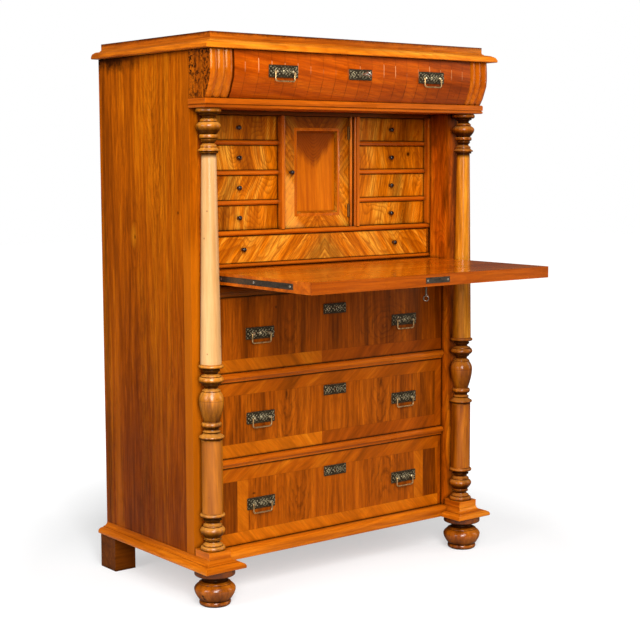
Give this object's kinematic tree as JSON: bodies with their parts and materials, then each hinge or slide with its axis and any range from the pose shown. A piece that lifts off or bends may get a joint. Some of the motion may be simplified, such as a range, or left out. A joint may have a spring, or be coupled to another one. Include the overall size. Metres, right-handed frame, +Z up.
{
  "type": "fall-front secretary",
  "caption": "Walnut fall-front secretary on bun feet: frieze drawer, writing flap on iron straps, gallery of small drawers round a cupboard, long drawers and turned columns.",
  "frame": {"origin": "bottom centre of the bounding box, with the flap open: on the floor, halfway between the front edge of the flap and the back of the case", "axes": "+X to the right as one faces the secretary, +Y from its front to its back, +Z up"},
  "size_m": [0.966, 0.823, 1.4],
  "materials": {
    "walnut": "french-polished walnut veneer with a warm brown figure",
    "cornice_walnut": "polished walnut, scuffed on the edges",
    "dark_walnut": "plain dark wood",
    "turned_maple": "turned light wood under an amber polish",
    "turned_walnut": "turned walnut with a gloss polish",
    "flap_walnut": "polished flap of plain orange figure",
    "flamed_veneer": "book-matched flamed veneer",
    "frieze_veneer": "cross-banded veneer strips of reddish figure",
    "drawer_veneer": "upright figured veneer with lighter cross bands",
    "bronze": "aged stamped bronze",
    "iron": "dark worked iron",
    "key_steel": "worn bright steel"
  },
  "bodies": {
    "case": {"back_panel": "dark_walnut", "top_board": "cornice_walnut", "frieze_shelf": "walnut", "writing_floor": "walnut", "upper_rail": "walnut", "middle_rail": "walnut", "lower_rail": "walnut", "base_frame": "walnut", "gallery_base": "walnut", "gallery_shelf": "walnut", "gallery_top": "dark_walnut", "left_side": "walnut", "left_frieze_block": "walnut", "left_column": "turned_maple", "left_front_foot": "turned_walnut", "left_rear_foot": "dark_walnut", "left_drawer_rack": "walnut", "right_side": "walnut", "right_frieze_block": "walnut", "right_column": "turned_maple", "right_front_foot": "turned_walnut", "right_rear_foot": "dark_walnut", "right_drawer_rack": "walnut"},
    "flap": {"fall_front": "flap_walnut", "left_flap_strap": "iron", "right_flap_strap": "iron", "flap_lock_plate": "iron"},
    "lock_bolt": {"flap_lock_bolt": "iron"},
    "flap_key": {"flap_key": "iron"},
    "frieze_key": {"frieze_key": "key_steel"},
    "cupboard_door": {"cupboard_door": "flamed_veneer"},
    "wide_drawer": {"wide_drawer": "flamed_veneer"},
    "left_small_drawer_1": {"left_small_drawer_1": "flamed_veneer"},
    "left_small_drawer_2": {"left_small_drawer_2": "flamed_veneer"},
    "left_small_drawer_3": {"left_small_drawer_3": "flamed_veneer"},
    "left_small_drawer_4": {"left_small_drawer_4": "flamed_veneer"},
    "right_small_drawer_1": {"right_small_drawer_1": "flamed_veneer"},
    "right_small_drawer_2": {"right_small_drawer_2": "flamed_veneer"},
    "right_small_drawer_3": {"right_small_drawer_3": "flamed_veneer"},
    "right_small_drawer_4": {"right_small_drawer_4": "flamed_veneer"},
    "frieze_drawer": {"frieze_drawer": "frieze_veneer", "frieze_left_plate": "bronze", "frieze_right_plate": "bronze"},
    "frieze_left_bail": {"frieze_left_bail": "bronze"},
    "frieze_right_bail": {"frieze_right_bail": "bronze"},
    "upper_drawer": {"upper_drawer": "drawer_veneer", "upper_left_plate": "bronze", "upper_right_plate": "bronze"},
    "upper_left_bail": {"upper_left_bail": "bronze"},
    "upper_right_bail": {"upper_right_bail": "bronze"},
    "middle_drawer": {"middle_drawer": "drawer_veneer", "middle_left_plate": "bronze", "middle_right_plate": "bronze"},
    "middle_left_bail": {"middle_left_bail": "bronze"},
    "middle_right_bail": {"middle_right_bail": "bronze"},
    "lower_drawer": {"lower_drawer": "drawer_veneer", "lower_left_plate": "bronze", "lower_right_plate": "bronze"},
    "lower_left_bail": {"lower_left_bail": "bronze"},
    "lower_right_bail": {"lower_right_bail": "bronze"}
  },
  "joints": [
    {"name": "flap_hinge", "type": "hinge", "parent": "case", "child": "flap", "pos_m": [0, 0, 0.8085], "axis": [1, 0, 0], "range_deg": [-90, 0]},
    {"name": "flap_key_turn", "type": "hinge", "parent": "flap", "child": "flap_key", "pos_m": [0, -0.3685, 0.794], "axis": [0, 0, 1], "range_deg": [0, 90]},
    {"name": "lock_bolt_slide", "type": "slide", "parent": "flap", "child": "lock_bolt", "axis": [0, -1, 0], "range_m": [0, 0.008]},
    {"name": "door_hinge", "type": "hinge", "parent": "case", "child": "cupboard_door", "pos_m": [0.106, 0.0588, 1.065], "axis": [0, 0, 1], "range_deg": [0, 90]},
    {"name": "left_small_drawer_1_slide", "type": "slide", "parent": "case", "child": "left_small_drawer_1", "axis": [0, -1, 0], "range_m": [0, 0.2]},
    {"name": "left_small_drawer_2_slide", "type": "slide", "parent": "case", "child": "left_small_drawer_2", "axis": [0, -1, 0], "range_m": [0, 0.2]},
    {"name": "left_small_drawer_3_slide", "type": "slide", "parent": "case", "child": "left_small_drawer_3", "axis": [0, -1, 0], "range_m": [0, 0.2]},
    {"name": "left_small_drawer_4_slide", "type": "slide", "parent": "case", "child": "left_small_drawer_4", "axis": [0, -1, 0], "range_m": [0, 0.2]},
    {"name": "right_small_drawer_1_slide", "type": "slide", "parent": "case", "child": "right_small_drawer_1", "axis": [0, -1, 0], "range_m": [0, 0.2]},
    {"name": "right_small_drawer_2_slide", "type": "slide", "parent": "case", "child": "right_small_drawer_2", "axis": [0, -1, 0], "range_m": [0, 0.2]},
    {"name": "right_small_drawer_3_slide", "type": "slide", "parent": "case", "child": "right_small_drawer_3", "axis": [0, -1, 0], "range_m": [0, 0.2]},
    {"name": "right_small_drawer_4_slide", "type": "slide", "parent": "case", "child": "right_small_drawer_4", "axis": [0, -1, 0], "range_m": [0, 0.2]},
    {"name": "wide_drawer_slide", "type": "slide", "parent": "case", "child": "wide_drawer", "axis": [0, -1, 0], "range_m": [0, 0.2]},
    {"name": "frieze_drawer_slide", "type": "slide", "parent": "case", "child": "frieze_drawer", "axis": [0, -1, 0], "range_m": [0, 0.3]},
    {"name": "frieze_left_bail_swing", "type": "hinge", "parent": "frieze_drawer", "child": "frieze_left_bail", "pos_m": [-0.244, -0.1258, 1.3107], "axis": [-1, 0, 0], "range_deg": [0, 80]},
    {"name": "frieze_right_bail_swing", "type": "hinge", "parent": "frieze_drawer", "child": "frieze_right_bail", "pos_m": [0.244, -0.1258, 1.3107], "axis": [-1, 0, 0], "range_deg": [0, 80]},
    {"name": "upper_drawer_slide", "type": "slide", "parent": "case", "child": "upper_drawer", "axis": [0, -1, 0], "range_m": [0, 0.3]},
    {"name": "upper_left_bail_swing", "type": "hinge", "parent": "upper_drawer", "child": "upper_left_bail", "pos_m": [-0.244, -0.0208, 0.6605], "axis": [-1, 0, 0], "range_deg": [0, 80]},
    {"name": "upper_right_bail_swing", "type": "hinge", "parent": "upper_drawer", "child": "upper_right_bail", "pos_m": [0.244, -0.0208, 0.6605], "axis": [-1, 0, 0], "range_deg": [0, 80]},
    {"name": "middle_drawer_slide", "type": "slide", "parent": "case", "child": "middle_drawer", "axis": [0, -1, 0], "range_m": [0, 0.3]},
    {"name": "middle_left_bail_swing", "type": "hinge", "parent": "middle_drawer", "child": "middle_left_bail", "pos_m": [-0.244, -0.0208, 0.4435], "axis": [-1, 0, 0], "range_deg": [0, 80]},
    {"name": "middle_right_bail_swing", "type": "hinge", "parent": "middle_drawer", "child": "middle_right_bail", "pos_m": [0.244, -0.0208, 0.4435], "axis": [-1, 0, 0], "range_deg": [0, 80]},
    {"name": "lower_drawer_slide", "type": "slide", "parent": "case", "child": "lower_drawer", "axis": [0, -1, 0], "range_m": [0, 0.3]},
    {"name": "lower_left_bail_swing", "type": "hinge", "parent": "lower_drawer", "child": "lower_left_bail", "pos_m": [-0.244, -0.0208, 0.221], "axis": [-1, 0, 0], "range_deg": [0, 80]},
    {"name": "lower_right_bail_swing", "type": "hinge", "parent": "lower_drawer", "child": "lower_right_bail", "pos_m": [0.244, -0.0208, 0.221], "axis": [-1, 0, 0], "range_deg": [0, 80]},
    {"name": "frieze_key_turn", "type": "hinge", "parent": "frieze_drawer", "child": "frieze_key", "pos_m": [0, -0.1185, 1.3117], "axis": [0, 1, 0], "range_deg": [0, 90]}
  ],
  "couplings": [
    {"joint": "flap_key_turn", "follows": "lock_bolt_slide", "rad_per_m": 196.3}
  ]
}
